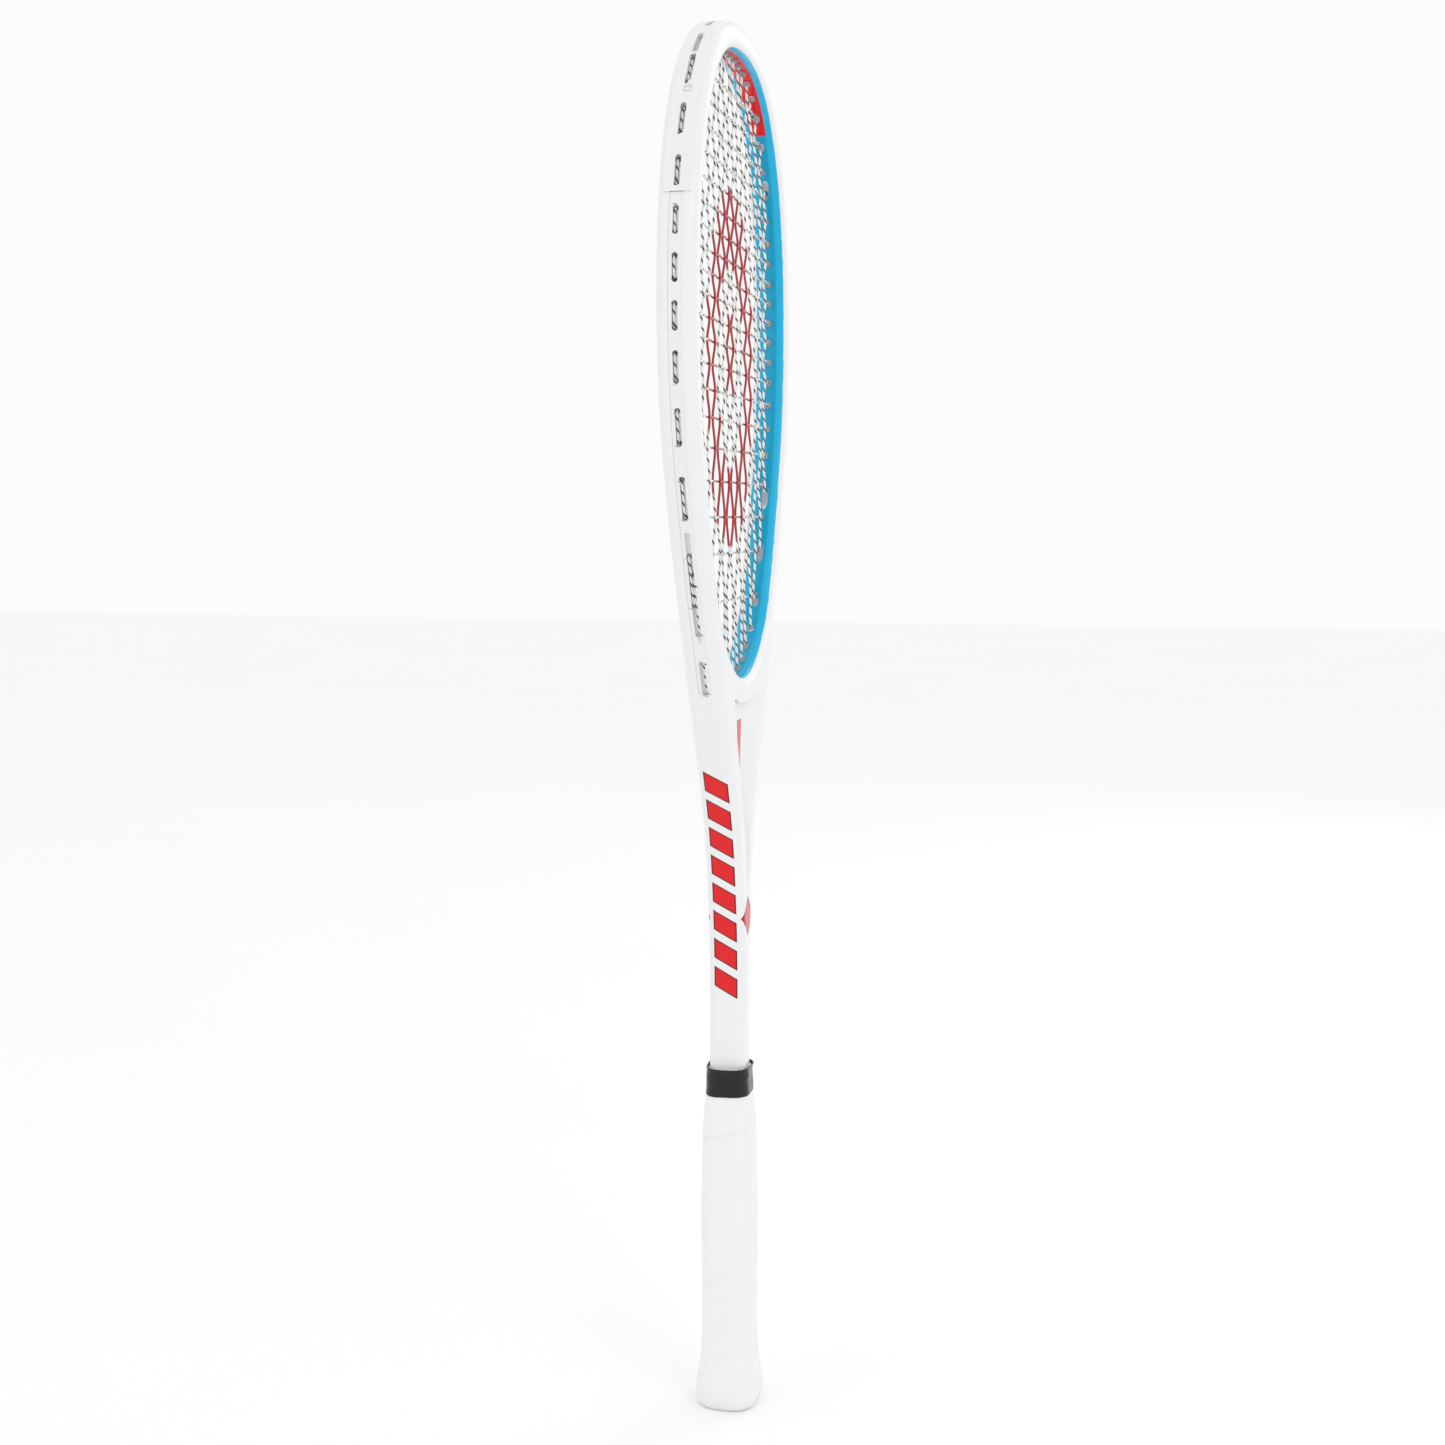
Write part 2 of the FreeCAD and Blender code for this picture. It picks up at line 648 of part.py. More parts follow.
def main():
    os.makedirs("parts", exist_ok=True)
    holes = string_holes()
    solid_frame, pieces = frame_parts(holes)
    pieces.update(grommet_parts(holes, solid_frame))
    pieces.update(string_parts())
    pieces.update(handle_parts())
    for name, shape in pieces.items():
        save(name, shape)


main()
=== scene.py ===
import math

import bpy
from mathutils import Matrix, Vector


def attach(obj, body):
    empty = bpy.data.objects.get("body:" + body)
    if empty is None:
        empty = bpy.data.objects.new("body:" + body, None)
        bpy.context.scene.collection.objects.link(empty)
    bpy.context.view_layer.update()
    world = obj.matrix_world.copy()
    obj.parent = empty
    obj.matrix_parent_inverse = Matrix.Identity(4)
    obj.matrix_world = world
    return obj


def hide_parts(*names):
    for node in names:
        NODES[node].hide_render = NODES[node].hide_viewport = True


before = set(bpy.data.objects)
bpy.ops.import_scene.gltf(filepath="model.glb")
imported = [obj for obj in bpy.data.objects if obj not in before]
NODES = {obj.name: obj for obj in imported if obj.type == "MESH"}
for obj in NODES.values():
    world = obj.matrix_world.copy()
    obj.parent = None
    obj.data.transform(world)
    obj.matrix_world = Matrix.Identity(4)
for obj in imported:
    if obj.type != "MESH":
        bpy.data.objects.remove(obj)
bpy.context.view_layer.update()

MM = 0.001

# Camera: bearing from +X towards +Y, then small turns from looking straight at the racket's axis
CAMERA_BEARING = 0.226601514
CAMERA_YAW = math.radians(0.223)
CAMERA_TILT = math.radians(6.24)
CAMERA_DISTANCE = 0.9464
CAMERA_HEIGHT = 0.45535
LENS = 47.605
SENSOR_WIDTH = 36.0

# Studio
WORLD_STRENGTH = 0.97
FLOOR_SIZE = 14.0
# Name, place, target, size and power of each area light
LIGHTS = [("key", (1.3, 1.5, 1.5), (0, 0, 0.4), (1.0, 1.6), 4.5),
          ("fill", (1.6, -1.3, 0.9), (0, 0, 0.35), (1.4, 1.6), 1.5),
          ("back", (-1.5, 0.9, 1.2), (0, 0, 0.4), (1.2, 1.6), 3.0)]


# ---------------------------------------------------------------- camera, light and floor
def aim(location, forward):
    """A camera matrix that looks along forward with no roll."""
    forward = forward.normalized()
    right = forward.cross(Vector((0, 0, 1))).normalized()
    up = right.cross(forward)
    turn = Matrix((right, up, -forward)).transposed().to_4x4()
    return Matrix.Translation(location) @ turn


def make_camera():
    data = bpy.data.cameras.new("camera")
    data.lens = LENS
    data.sensor_width = SENSOR_WIDTH
    data.clip_start = 0.05
    cam = bpy.data.objects.new("camera", data)
    bpy.context.collection.objects.link(cam)
    place = Vector((CAMERA_DISTANCE * math.cos(CAMERA_BEARING), CAMERA_DISTANCE * math.sin(CAMERA_BEARING),
                    CAMERA_HEIGHT))
    heading = CAMERA_BEARING + CAMERA_YAW
    look = Vector((-math.cos(heading) * math.cos(CAMERA_TILT), -math.sin(heading) * math.cos(CAMERA_TILT),
                   -math.sin(CAMERA_TILT)))
    cam.matrix_world = aim(place, look)
    bpy.context.scene.camera = cam
    bpy.context.scene.view_settings.view_transform = "Standard"


def area_light(name, place, target, size, power):
    data = bpy.data.lights.new(name, "AREA")
    data.shape = "RECTANGLE"
    data.size, data.size_y = size
    data.energy = power
    lamp = bpy.data.objects.new(name, data)
    bpy.context.collection.objects.link(lamp)
    place = Vector(place)
    lamp.matrix_world = aim(place, Vector(target) - place)


def make_stage():
    world = bpy.data.worlds.new("studio")
    bpy.context.scene.world = world
    world.use_nodes = True
    world.node_tree.nodes["Background"].inputs["Color"].default_value = (1.0, 1.0, 1.0, 1)
    world.node_tree.nodes["Background"].inputs["Strength"].default_value = WORLD_STRENGTH
    bpy.ops.mesh.primitive_plane_add(size=FLOOR_SIZE, location=(0, 0, 0))
    floor = bpy.context.object
    floor.name = "floor"
    mat = Material("floor_paper", roughness=0.9)
    mat.colour(mat.noise_mix((0.95, 0.95, 0.95), (0.97, 0.97, 0.97), 3.0))
    mat.apply(floor)
    for light in LIGHTS:
        area_light(*light)


# ---------------------------------------------------------------- materials
class Material:
    """A Principled material put together from small node helpers."""

    def __init__(self, name, roughness=0.4, coat=0.0, coat_roughness=0.05, specular=0.5, **sockets):
        self.mat = bpy.data.materials.new(name)
        self.mat.use_nodes = True
        self.tree = self.mat.node_tree
        self.bsdf = self.tree.nodes["Principled BSDF"]
        self.bsdf.inputs["Roughness"].default_value = roughness
        self.bsdf.inputs["Coat Weight"].default_value = coat
        self.bsdf.inputs["Coat Roughness"].default_value = coat_roughness
        self.bsdf.inputs["Specular IOR Level"].default_value = specular
        for key, value in sockets.items():
            self.bsdf.inputs[key.replace("_", " ")].default_value = value
        self.coords = self.node("ShaderNodeTexCoord").outputs["Object"]
        self.axes = None

    def node(self, kind, **values):
        made = self.tree.nodes.new(kind)
        for key, value in values.items():
            setattr(made, key, value)
        return made

    def feed(self, socket, value):
        if isinstance(value, bpy.types.NodeSocket):
            self.tree.links.new(value, socket)
        elif isinstance(value, tuple):
            socket.default_value = tuple(value) + (1,) * (len(socket.default_value) - len(value))
        else:
            socket.default_value = value

    def math(self, operation, a, b=0.0, c=0.0):
        made = self.node("ShaderNodeMath", operation=operation)
        for socket, value in zip(made.inputs, (a, b, c)):
            self.feed(socket, value)
        return made.outputs[0]

    def xyz(self):
        """Place on the object in millimetres."""
        if self.axes is None:
            scaled = self.node("ShaderNodeVectorMath", operation="SCALE")
            self.feed(scaled.inputs[0], self.coords)
            scaled.inputs["Scale"].default_value = 1000
            split = self.node("ShaderNodeSeparateXYZ")
            self.feed(split.inputs[0], scaled.outputs[0])
            self.axes = [split.outputs[i] for i in range(3)]
        return self.axes

    def normal(self):
        """Direction the surface faces, on the object's own axes."""
        geometry = self.node("ShaderNodeNewGeometry")
        turned = self.node("ShaderNodeVectorTransform", vector_type="NORMAL", convert_from="WORLD",
                           convert_to="OBJECT")
        self.feed(turned.inputs[0], geometry.outputs["Normal"])
        split = self.node("ShaderNodeSeparateXYZ")
        self.feed(split.inputs[0], turned.outputs[0])
        return [split.outputs[i] for i in range(3)]

    def above(self, value, limit, soft=0.1):
        """1 where value is over limit, with an edge of the given softness."""
        span = self.node("ShaderNodeMapRange", clamp=True)
        for socket, number in zip(span.inputs, (value, 0, 0, 0, 1)):
            self.feed(socket, number)
        if isinstance(limit, bpy.types.NodeSocket):
            self.feed(span.inputs[0], self.math("SUBTRACT", value, limit))
            limit = 0.0
        span.inputs[1].default_value = limit - soft
        span.inputs[2].default_value = limit + soft
        return span.outputs[0]

    def below(self, value, limit, soft=0.1):
        return self.math("SUBTRACT", 1.0, self.above(value, limit, soft))

    def between(self, value, low, high, soft=0.1):
        return self.math("MULTIPLY", self.above(value, low, soft), self.below(value, high, soft))

    def both(self, *masks):
        result = masks[0]
        for mask in masks[1:]:
            result = self.math("MULTIPLY", result, mask)
        return result

    def either(self, a, b):
        return self.math("MAXIMUM", a, b)

    def mix(self, mask, a, b):
        made = self.node("ShaderNodeMix", data_type="RGBA")
        self.feed(made.inputs[0], mask)
        self.feed(made.inputs[6], a)
        self.feed(made.inputs[7], b)
        return made.outputs[2]

    def noise(self, scale, detail=3.0):
        made = self.node("ShaderNodeTexNoise")
        self.feed(made.inputs["Vector"], self.coords)
        made.inputs["Scale"].default_value = scale
        made.inputs["Detail"].default_value = detail
        return made.outputs[0]

    def noise_mix(self, a, b, scale, detail=3.0):
        return self.mix(self.noise(scale, detail), a, b)

    def curve(self, value, table, low, high, scale):
        """A table of (result, value) as a curve of straight runs."""
        made = self.node("ShaderNodeFloatCurve")
        line = made.mapping.curves[0]
        spots = [((v - low) / (high - low), r / scale) for r, v in table]
        line.points[0].location, line.points[1].location = spots[0], spots[-1]
        for spot in spots[1:-1]:
            line.points.new(*spot)
        for point in line.points:
            point.handle_type = "VECTOR"
        made.mapping.update()
        self.feed(made.inputs["Value"], self.math("DIVIDE", self.math("SUBTRACT", value, low), high - low))
        return self.math("MULTIPLY", made.outputs[0], scale)

    def colour(self, value):
        self.feed(self.bsdf.inputs["Base Color"], value)

    def bump(self, height, distance, strength=0.3):
        made = self.node("ShaderNodeBump")
        made.inputs["Strength"].default_value = strength
        made.inputs["Distance"].default_value = distance
        self.feed(made.inputs["Height"], height)
        self.feed(self.bsdf.inputs["Normal"], made.outputs[0])

    def apply(self, obj):
        obj.data.materials.clear()
        obj.data.materials.append(self.mat)


# Outside edge of the frame's lower half, as (half width, height)
ARM = [(49.6, 365.0), (52.7, 372.0), (55.5, 378.0), (63.7, 395.0), (71.8, 412.0), (78.9, 428.0),
       (85.8, 445.0), (91.8, 460.0), (96.5, 475.0), (100.2, 487.0), (103.0, 500.0), (106.5, 525.0),
       (107.5, 545.0)]
# Inside edge of the hoop's lower half
LOW_EDGE = [(0.0, 375.5), (22.0, 380.5), (41.0, 392.5), (55.0, 407.5), (64.0, 424.0), (73.0, 446.0),
            (81.5, 470.0), (88.0, 492.0), (93.2, 520.0), (95.0, 545.0)]
# The upper half is a superellipse: half width, rise over the widest point, power and widest height
WIDE, RISE, POWER, MIDDLE = 107.5, 140.4, 2.3, 545.0
BRIDGE_Z = 375.5         # lowest point of the hoop's inside edge
RIM_DEPTH = 12.5         # outside edge to inside edge
MASK_INSET = 12.3        # barrel ends show grey from just outside the inside edge
SEAT_DROP = 1.6          # middle of the strings' outside runs below the rim's surface
GRAIN = 1400.0           # scale of the fine grain on moulded pieces

# Painted graphics
HEAD_CENTRE_Z = 520.0
TIP_BAND_Z = 648.0
STRIPE_LOW, STRIPE_HIGH = 316.0, 352.9
BAR_PITCH, BAR_START, BAR_LEAN = 14.5, 200.0, 0.55
BAR_PANEL = (214.0, 330.0)
LOZENGE_HALF_X, LOZENGE_HALF_Z, LOZENGE_Z = 9.4, 10.5, 254.5
LAP_PITCH = 25.0         # height between turns of the grip's wrap
# Stencil on the strings: half width, half height and middle height
RING = (49.0, 86.0, 525.0)
SPOT = (10.5, 21.0, 533.0)
RING_INSIDE = 0.56       # the ring's hole as a share of its size

WHITE = (0.83, 0.835, 0.84)
BLUE = (0.0, 0.44, 0.72)
# darker blue used as painted shade along the middle of the hoop's inner surface
SHADED_BLUE = (0.0, 0.24, 0.40)
RED = (0.72, 0.004, 0.008)
DARK_RED = (0.16, 0.0, 0.005)


def lacquer():
    """White gloss lacquer with the painted graphics, placed by where they are on the racket."""
    mat = Material("frame_lacquer", roughness=0.24, coat=0.15, coat_roughness=0.04, specular=0.32)
    x, y, z = mat.xyz()
    nx, ny, nz = mat.normal()
    side = mat.math("ABSOLUTE", x)
    depth = mat.math("ABSOLUTE", y)
    base = mat.noise_mix(WHITE, (0.81, 0.815, 0.82), 14.0)

    # inside of the hoop: facing the middle of the head, up to the rounded edges of the faces
    toward = mat.math("ADD", mat.math("MULTIPLY", mat.math("MULTIPLY", x, -1.0), nx),
                      mat.math("MULTIPLY", mat.math("SUBTRACT", HEAD_CENTRE_Z, z), nz))
    inward = mat.both(mat.above(toward, 8.0, 3.0), mat.above(z, 372.0, 0.3))
    edge = mat.math("ABSOLUTE", ny)
    inside = mat.both(inward, mat.below(edge, 0.62, 0.03))
    # painted shade: a band within 3.4 mm of the mid plane on the inner surface is mixed partway to a darker
    # blue
    groove_shade = mat.math("MULTIPLY", mat.below(depth, 3.4, 0.5), 0.55)
    blue = mat.mix(groove_shade, BLUE, SHADED_BLUE)
    result = mat.mix(inside, base, blue)
    tip = mat.both(inside, mat.above(z, TIP_BAND_Z, 0.4), mat.below(depth, 4.2, 0.25))
    result = mat.mix(tip, result, RED)

    # stripe along the floor of the throat hollow
    width = mat.math("MULTIPLY_ADD", mat.above(z, 336.0, 16.0), 2.6, 1.6)
    away = mat.math("SUBTRACT", side, width)
    hollow = mat.both(mat.above(edge, 0.5), mat.below(depth, 8.6))
    stripe_edge = mat.both(mat.between(z, 320.0, 353.5), mat.below(away, 0.35), hollow)
    stripe = mat.both(mat.between(z, STRIPE_LOW, STRIPE_HIGH), mat.below(away, 0.0), hollow)
    fade = mat.above(z, 332.0, 12.0)
    result = mat.mix(mat.both(stripe_edge, fade), result, DARK_RED)
    result = mat.mix(stripe, result, mat.mix(fade, (0.92, 0.30, 0.22), RED))

    # slanted bars on the two sides
    lean = mat.math("MULTIPLY_ADD", y, BAR_LEAN, z)
    bar = mat.math("MODULO", mat.math("SUBTRACT", lean, BAR_START), BAR_PITCH)
    outward = mat.math("MULTIPLY", nx, mat.math("SIGN", x))
    panel = mat.both(mat.above(outward, 0.45, 0.05), mat.between(lean, *BAR_PANEL))
    outline = mat.both(panel, mat.between(bar, 2.2, 12.4, 0.12), mat.below(depth, 5.9))
    inner = mat.both(panel, mat.between(bar, 2.9, 11.7, 0.12), mat.below(depth, 5.2))
    result = mat.mix(outline, result, DARK_RED)
    result = mat.mix(inner, result, RED)

    # plain lozenge on each face above the shaft
    rise = mat.math("ABSOLUTE", mat.math("SUBTRACT", z, LOZENGE_Z))
    away = mat.math("ADD", mat.math("DIVIDE", side, LOZENGE_HALF_X), mat.math("DIVIDE", rise, LOZENGE_HALF_Z))
    face = mat.above(edge, 0.2, 0.05)
    result = mat.mix(mat.both(face, mat.below(away, 1.0, 0.02)), result, DARK_RED)
    result = mat.mix(mat.both(face, mat.below(away, 0.86, 0.02)), result, RED)
    mat.colour(result)
    mat.bump(mat.noise(900.0, 2.0), 0.0001, 0.04)
    return mat


def moulded(name, a, b, roughness, **more):
    """A moulded piece: two close colours mixed by noise, and a fine grain."""
    mat = Material(name, roughness=roughness, **more)
    mat.colour(mat.noise_mix(a, b, 60.0))
    mat.bump(mat.noise(GRAIN, 2.0), 0.0001, 0.12)
    return mat


def strip_material():
    """White in the channel; the barrel ends inside the hoop are a translucent grey."""
    mat = Material("grommet_nylon", roughness=0.38)
    x, y, z = mat.xyz()
    side = mat.math("ABSOLUTE", x)
    rise = mat.math("MAXIMUM", mat.math("SUBTRACT", z, MIDDLE), 0.0)
    across = mat.math("POWER", mat.math("DIVIDE", side, WIDE - MASK_INSET), POWER)
    up = mat.math("POWER", mat.math("DIVIDE", rise, RISE - MASK_INSET), POWER)
    upper = mat.both(mat.below(mat.math("ADD", across, up), 1.0, 0.004), mat.above(z, MIDDLE, 0.01))
    edge = mat.curve(z, LOW_EDGE, BRIDGE_Z, MIDDLE, 100.0)
    lower = mat.both(mat.below(side, edge, 0.2), mat.below(z, MIDDLE, 0.01))
    inside = mat.either(upper, lower)
    white = mat.noise_mix((0.82, 0.825, 0.83), (0.79, 0.795, 0.80), 60.0)
    grey = mat.noise_mix((0.26, 0.29, 0.31), (0.36, 0.39, 0.41), 300.0)
    mat.colour(mat.mix(inside, white, grey))
    mat.bump(mat.noise(GRAIN, 2.0), 0.0001, 0.1)
    return mat


def grip_material():
    """Soft white wrap: fine grain, a bumped step where each turn laps the one below, and a faint grey line of
    painted shade along that step.
    """
    mat = Material("grip_polymer", roughness=0.62, Sheen_Weight=0.08)
    x, y, z = mat.xyz()
    around = mat.math("DIVIDE", mat.math("ARCTAN2", x, y), 2 * math.pi)
    turn = mat.math("FRACT", mat.math("ADD", around, mat.math("DIVIDE", z, LAP_PITCH)))
    # painted shade: a grey line along the step where each turn laps the one below, faint low down and stronger
    # above about 140 mm
    lap_shade = mat.both(mat.below(turn, 0.035, 0.02), mat.above(turn, 0.0, 0.008))
    step = mat.math("SUBTRACT", 1.0, turn)
    grain = mat.noise(2600.0, 3.0)
    white = mat.noise_mix((0.85, 0.855, 0.855), (0.82, 0.825, 0.825), 90.0)
    lap_shade_strength = mat.math("MULTIPLY_ADD", mat.above(z, 140.0, 8.0), 0.10, 0.035)
    mat.colour(mat.mix(mat.math("MULTIPLY", lap_shade, lap_shade_strength), white, (0.45, 0.45, 0.46)))
    height = mat.math("ADD", mat.math("MULTIPLY", grain, 0.12), mat.math("MULTIPLY", step, 0.3))
    mat.bump(height, 0.0004, 0.25)
    return mat


def oval(mat, x, z, half_x, half_z, middle):
    """0 at the middle of an oval on the string bed and 1 on its edge."""
    across = mat.math("POWER", mat.math("DIVIDE", x, half_x), 2.0)
    up = mat.math("POWER", mat.math("DIVIDE", mat.math("SUBTRACT", z, middle), half_z), 2.0)
    return mat.math("SQRT", mat.math("ADD", across, up))


def string_material():
    """Clear-coated string with a dark spiral tracer; the stencil is a ring with a spot in it."""
    mat = Material("string_nylon", roughness=0.28, coat=0.4)
    uv = mat.node("ShaderNodeUVMap", uv_map="along")
    split = mat.node("ShaderNodeSeparateXYZ")
    mat.feed(split.inputs[0], uv.outputs[0])
    turn = mat.math("FRACT", mat.math("ADD", split.outputs[0], split.outputs[1]))
    tracer = mat.between(turn, 0.32, 0.60, 0.05)
    clear = mat.noise_mix((0.86, 0.85, 0.82), (0.74, 0.73, 0.70), 400.0)
    x, y, z = mat.xyz()
    ring, spot = [oval(mat, x, z, *sizes) for sizes in (RING, SPOT)]
    ink = mat.either(mat.between(ring, RING_INSIDE, 1.0, 0.01), mat.below(spot, 1.0, 0.02))
    plain = mat.mix(tracer, clear, (0.012, 0.012, 0.014))
    red = mat.noise_mix((0.44, 0.010, 0.02), (0.30, 0.006, 0.014), 500.0)
    mat.colour(mat.mix(ink, plain, red))
    return mat


# ---------------------------------------------------------------- strings
STRING_R = 0.62 * MM
MAIN_X = [4.6, 14.0, 23.8, 34.0, 45.0, 56.5, 68.5, 80.0]
CROSS_Z = [656.5, 644.0, 632.0, 620.0, 608.4, 597.2, 586.8, 576.6, 566.4, 556.2, 546.0, 535.6,
           524.8, 513.0, 500.2, 486.2, 470.6, 453.6, 436.0, 413.0]
MAIN_EXIT_Z = {45.0: 371.5, 56.5: 386.0, 68.5: 400.0, 80.0: 423.0}
LAST_MAIN_TIE_Z = 638.5
FIRST_CROSS_TIE_X = 62.5
WEAVE = 0.60             # how far a string moves off the mid plane where it crosses another
EDGE_OFFSET = 0.5        # off the mid plane where a string enters the rim
SEAT_OFFSET = 0.63       # and where it turns outside the rim
THROAT_TURN = 14.1       # the middle mains turn this far below the hoop's inside edge
TRACER_PITCH = 5.2 * MM
STRING_SIDES = 10


def tube(name, points):
    """A string through points in millimetres, with a UV map that runs along and around it."""
    points = [Vector(p) * MM for p in points]
    faces, uvs = [], []
    sides = STRING_SIDES
    along, total = [0.0], 0.0
    for a, b in zip(points, points[1:]):
        total += (b - a).length
        along.append(total)
    side = Vector((0, 1, 0))
    rings = []
    for i, p in enumerate(points):
        before, after = points[max(i - 1, 0)], points[min(i + 1, len(points) - 1)]
        tangent = (after - before).normalized()
        side = (side - tangent * side.dot(tangent)).normalized()
        other = tangent.cross(side)
        rings.append([p + (side * math.cos(t) + other * math.sin(t)) * STRING_R
                      for t in (2 * math.pi * k / sides for k in range(sides))])
    verts = [v for ring in rings for v in ring]
    for i in range(len(points) - 1):
        for k in range(sides):
            a, b = i * sides + k, i * sides + (k + 1) % sides
            faces.append((a, b, b + sides, a + sides))
            s0, s1 = along[i] / TRACER_PITCH, along[i + 1] / TRACER_PITCH
            u0, u1 = k / sides, (k + 1) / sides
            uvs += [(s0, u0), (s0, u1), (s1, u1), (s1, u0)]
    faces.append(tuple(reversed(range(sides))))
    faces.append(tuple(range(len(verts) - sides, len(verts))))
    uvs += [(0, 0)] * (2 * sides)
    mesh = bpy.data.meshes.new(name)
    mesh.from_pydata([tuple(v) for v in verts], [], faces)
    layer = mesh.uv_layers.new(name="along")
    for loop, value in zip(layer.data, uvs):
        loop.uv = value
    for face in mesh.polygons:
        face.use_smooth = len(face.vertices) == 4
    obj = bpy.data.objects.new(name, mesh)
    bpy.context.collection.objects.link(obj)
    return obj


def weave(k):
    """Which side of the mid plane a main passes at crossing k; the cross takes the other side."""
    return WEAVE if k % 2 == 0 else -WEAVE


def bent(points, radius=2.0, steps=4):
    """Replaces each corner with a short smooth bend."""
    result = [points[0]]
    for before, corner, after in zip(points, points[1:], points[2:]):
        into, away = (before - corner), (after - corner)
        if into.normalized().dot(away.normalized()) < -0.97:
            result.append(corner)
            continue
        a = corner + into.normalized() * min(radius, into.length * 0.45)
        b = corner + away.normalized() * min(radius, away.length * 0.45)
        for i in range(steps + 1):
            t = i / steps
            result.append(a.lerp(corner, t).lerp(corner.lerp(b, t), t))
    return result + [points[-1]]


def wave(ends, stops, axis):
    """Points along a bed string, eased over and under at each crossing."""
    start, end = ends
    span = end - start
    places = sorted(stops)
    result = [start]
    previous = None
    for place, height in places:
        t = (place - start[axis]) / span[axis]
        at = start.lerp(end, t)
        at.y = height
        if previous is not None:
            for f in (0.25, 0.5, 0.75):
                ease = (1 - math.cos(math.pi * f)) / 2
                mid = previous.lerp(at, f)
                mid.y = previous.y + (at.y - previous.y) * ease
                result.append(mid)
        result.append(at)
        previous = at
    result.append(end)
    return result


def look_up(table, value, given, wanted):
    """Reads column wanted of a table where column given has this value."""
    for a, b in zip(table, table[1:]):
        if a[given] <= value <= b[given]:
            return a[wanted] + (b[wanted] - a[wanted]) * (value - a[given]) / (b[given] - a[given])
    return table[-1][wanted]


def crown_z(x, inset):
    """Height of the rim's upper half over a place across the head, moved in from the outside edge."""
    return MIDDLE + (RISE - inset) * (1 - (abs(x) / (WIDE - inset)) ** POWER) ** (1 / POWER)


def crown_x(z, inset):
    """The same edge the other way: half width at a height."""
    return (WIDE - inset) * (1 - ((z - MIDDLE) / (RISE - inset)) ** POWER) ** (1 / POWER)


def bed_x(z):
    """Half width of the hoop's inside at a height."""
    return crown_x(z, RIM_DEPTH) if z > MIDDLE else look_up(LOW_EDGE, z, 1, 0)


def seat_x(z):
    """Half width, at a height, of the channel that the strings turn in."""
    return crown_x(z, SEAT_DROP) if z > MIDDLE else look_up(ARM, z, 1, 0) - SEAT_DROP - 0.1


def main_route(order):
    """The main string, up and down the head from one side to the other."""
    route, upward = [], False
    for number, x in enumerate(order):
        bottom, upper = look_up(LOW_EDGE, abs(x), 0, 1), crown_z(x, RIM_DEPTH)
        low = Vector((x, SEAT_OFFSET, bottom - THROAT_TURN))
        if abs(x) in MAIN_EXIT_Z:
            z = MAIN_EXIT_Z[abs(x)]
            low = Vector((math.copysign(seat_x(z), x), SEAT_OFFSET, z))
        high = Vector((x, SEAT_OFFSET, crown_z(x, SEAT_DROP)))
        if x == MAIN_X[-1]:
            high = Vector((seat_x(LAST_MAIN_TIE_Z), SEAT_OFFSET, LAST_MAIN_TIE_Z))
        stops = [(z, weave(number + k)) for k, z in enumerate(CROSS_Z) if bottom + 2.5 < z < upper - 2.5]
        bed = wave((Vector((x, EDGE_OFFSET, bottom)), Vector((x, EDGE_OFFSET, upper))), stops, 2)
        run = [low] + bed + [high]
        route += run if upward else list(reversed(run))
        upward = not upward
    return route


def cross_route(order):
    """The cross string, from side to side down the head."""
    route, rightward = [], True
    for k, z in enumerate(CROSS_Z):
        edge, reach = bed_x(z), seat_x(z)
        left, right = Vector((-reach, -SEAT_OFFSET, z)), Vector((reach, -SEAT_OFFSET, z))
        if k == 0:
            left = Vector((-FIRST_CROSS_TIE_X, -SEAT_OFFSET, crown_z(FIRST_CROSS_TIE_X, SEAT_DROP)))
        stops = [(x, -weave(number + k)) for number, x in enumerate(order) if abs(x) < edge - 2.0]
        bed = wave((Vector((-edge, -EDGE_OFFSET, z)), Vector((edge, -EDGE_OFFSET, z))), stops, 0)
        run = [left] + bed + [right]
        route += run if rightward else list(reversed(run))
        rightward = not rightward
    return route


def make_strings(mat):
    order = [-x for x in reversed(MAIN_X)] + MAIN_X
    main = tube("woven_mains", bent(main_route(order)))
    cross = tube("woven_crosses", bent(cross_route(order)))
    for piece, node in ((main, "main_string"), (cross, "cross_string")):
        mat.apply(piece)
        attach(piece, "root")
        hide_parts(node)


# ---------------------------------------------------------------- finishing tape
TAPE_LOW, TAPE_HIGH = 163.3, 177.5
TAPE_HALF, TAPE_TAPER = 11.2, 0.5     # half thickness at the bottom, and how much less at the top
TAPE_EXTRA_X = 1.5                    # the handle is this much wider than thick, each side
TAPE_CORNER = 0.74                    # corner radius as a share of the half thickness
TAPE_SHEET = 0.0005


def section(half_x, half_y, corner):
    """Points round a rounded rectangle, in order, anticlockwise from the middle of +X."""
    points = []
    for quarter in range(4):
        sx, sy = ((1, 1), (-1, 1), (-1, -1), (1, -1))[quarter]
        for step in range(21):
            turn = math.pi / 2 * (quarter + step / 20)
            points.append(Vector((sx * (half_x - corner) + corner * math.cos(turn),
                                  sy * (half_y - corner) + corner * math.sin(turn), 0)))
    full = []
    for a, b in zip(points, points[1:] + points[:1]):
        parts = 8 if (b - a).length > 2.0 else 1
        full += [a.lerp(b, i / parts) for i in range(parts)]
    return full


def smooth(value, low, high):
    """0 up to low, 1 from high, eased between."""
    t = min(max((value - low) / (high - low), 0.0), 1.0)
    return t * t * (3 - 2 * t)


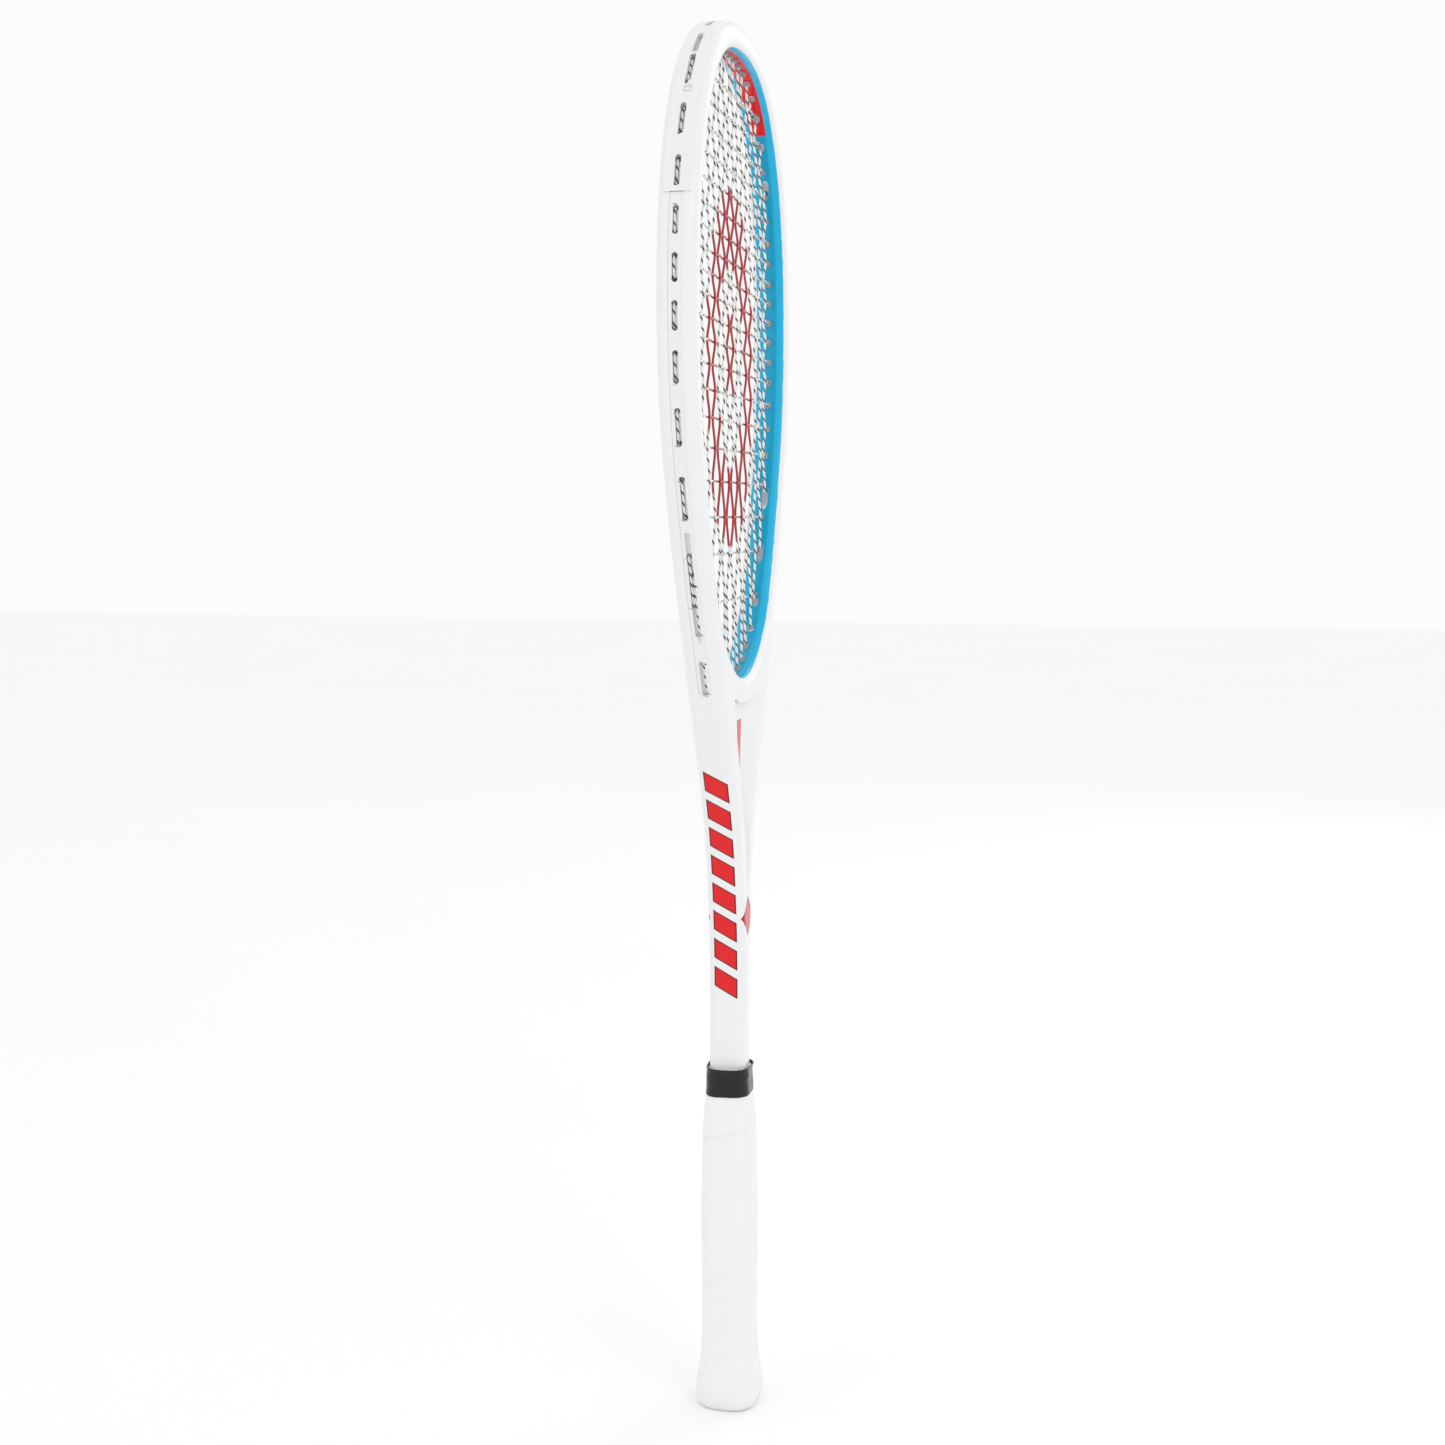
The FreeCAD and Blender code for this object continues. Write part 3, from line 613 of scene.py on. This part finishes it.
def make_tape(mat):
    """Black tape wound round the top of the grip: soft edges, a lifted top and its loose end."""
    levels = [(TAPE_LOW + 0.2, -0.35), (TAPE_LOW, -0.1), (TAPE_LOW, 0.1), (TAPE_LOW + 0.35, 0.3)]
    levels += [(TAPE_LOW + 0.6 * i, 0.32) for i in range(1, 23)]
    levels += [(TAPE_HIGH - 0.25, 0.34), (TAPE_HIGH + 0.05, 0.2), (TAPE_HIGH, -0.15), (TAPE_HIGH - 0.6, -0.35)]
    rings = []
    for z, out in levels:
        share = (z - TAPE_LOW) / (TAPE_HIGH - TAPE_LOW)
        half = TAPE_HALF - TAPE_TAPER * share
        ring = []
        for p in section(half + TAPE_EXTRA_X, half, half * TAPE_CORNER):
            turn = math.degrees(math.atan2(p.y, p.x))
            line = TAPE_HIGH + 0.5 - 6.2 * smooth(turn, -22.0, 52.0) * (1 - smooth(turn, 70.0, 96.0))
            lift = 0.28 * smooth(z, line - 0.25, line + 0.1)
            curl = 0.42 * smooth(share, 0.86, 1.0) * (1 + 0.6 * math.sin(math.radians(turn * 3 + 40)))
            dent = 0.10 * math.sin(math.radians(turn * 2)) * math.sin(share * 9 + math.radians(turn))
            ends = smooth(share, 0.7, 1.0) + smooth(share, 0.3, 0.0)
            wander = 0.25 * math.sin(math.radians(turn * 2 + 30)) * ends
            spot = p + p.normalized() * (out - 0.3 + lift + curl + dent)
            ring.append((spot.x * MM, spot.y * MM, (z + wander) * MM))
        rings.append(ring)
    count = len(rings[0])
    verts = [v for ring in rings for v in ring]
    faces = []
    for start in range(0, count * (len(rings) - 1), count):
        for k in range(count):
            a, b = start + k, start + (k + 1) % count
            faces.append((a, b, b + count, a + count))
    mesh = bpy.data.meshes.new("wound_tape")
    mesh.from_pydata(verts, [], faces)
    for face in mesh.polygons:
        face.use_smooth = True
    piece = bpy.data.objects.new("wound_tape", mesh)
    bpy.context.collection.objects.link(piece)
    shell = piece.modifiers.new("thickness", "SOLIDIFY")
    shell.thickness = TAPE_SHEET
    shell.offset = -1
    mat.apply(piece)
    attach(piece, "root")
    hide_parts("finishing_tape")


# ---------------------------------------------------------------- put together
make_camera()
make_stage()

paint = lacquer()
grommet = moulded("barrel_nylon", (0.26, 0.29, 0.31), (0.36, 0.39, 0.41), 0.36)
grip = grip_material()
strip = strip_material()
tape = moulded("tape_vinyl", (0.004, 0.004, 0.005), (0.010, 0.010, 0.011), 0.16, specular=0.35)
foam = moulded("pallet_foam", (0.62, 0.54, 0.36), (0.56, 0.48, 0.32), 0.8)
cap = moulded("cap_plastic", (0.82, 0.82, 0.82), (0.78, 0.78, 0.78), 0.4)
badge = moulded("badge_plastic", RED, (0.60, 0.01, 0.012), 0.3)
steel = moulded("staple_steel", (0.62, 0.62, 0.63), (0.5, 0.5, 0.51), 0.3, Metallic=1.0)
string = string_material()
FINISH = {"frame": paint, "throat_bridge": paint, "bumper_guard": strip, "grommet_strip_left": strip,
          "grommet_strip_right": strip, "throat_grommets": grommet, "string_knots": string,
          "handle_pallet_front": foam, "handle_pallet_rear": foam, "butt_cap": cap,
          "butt_cap_badge": badge, "butt_cap_staples": steel, "grip_wrap": grip, "finishing_tape": tape}
for node, material in FINISH.items():
    material.apply(NODES[node])
make_strings(string)
make_tape(tape)
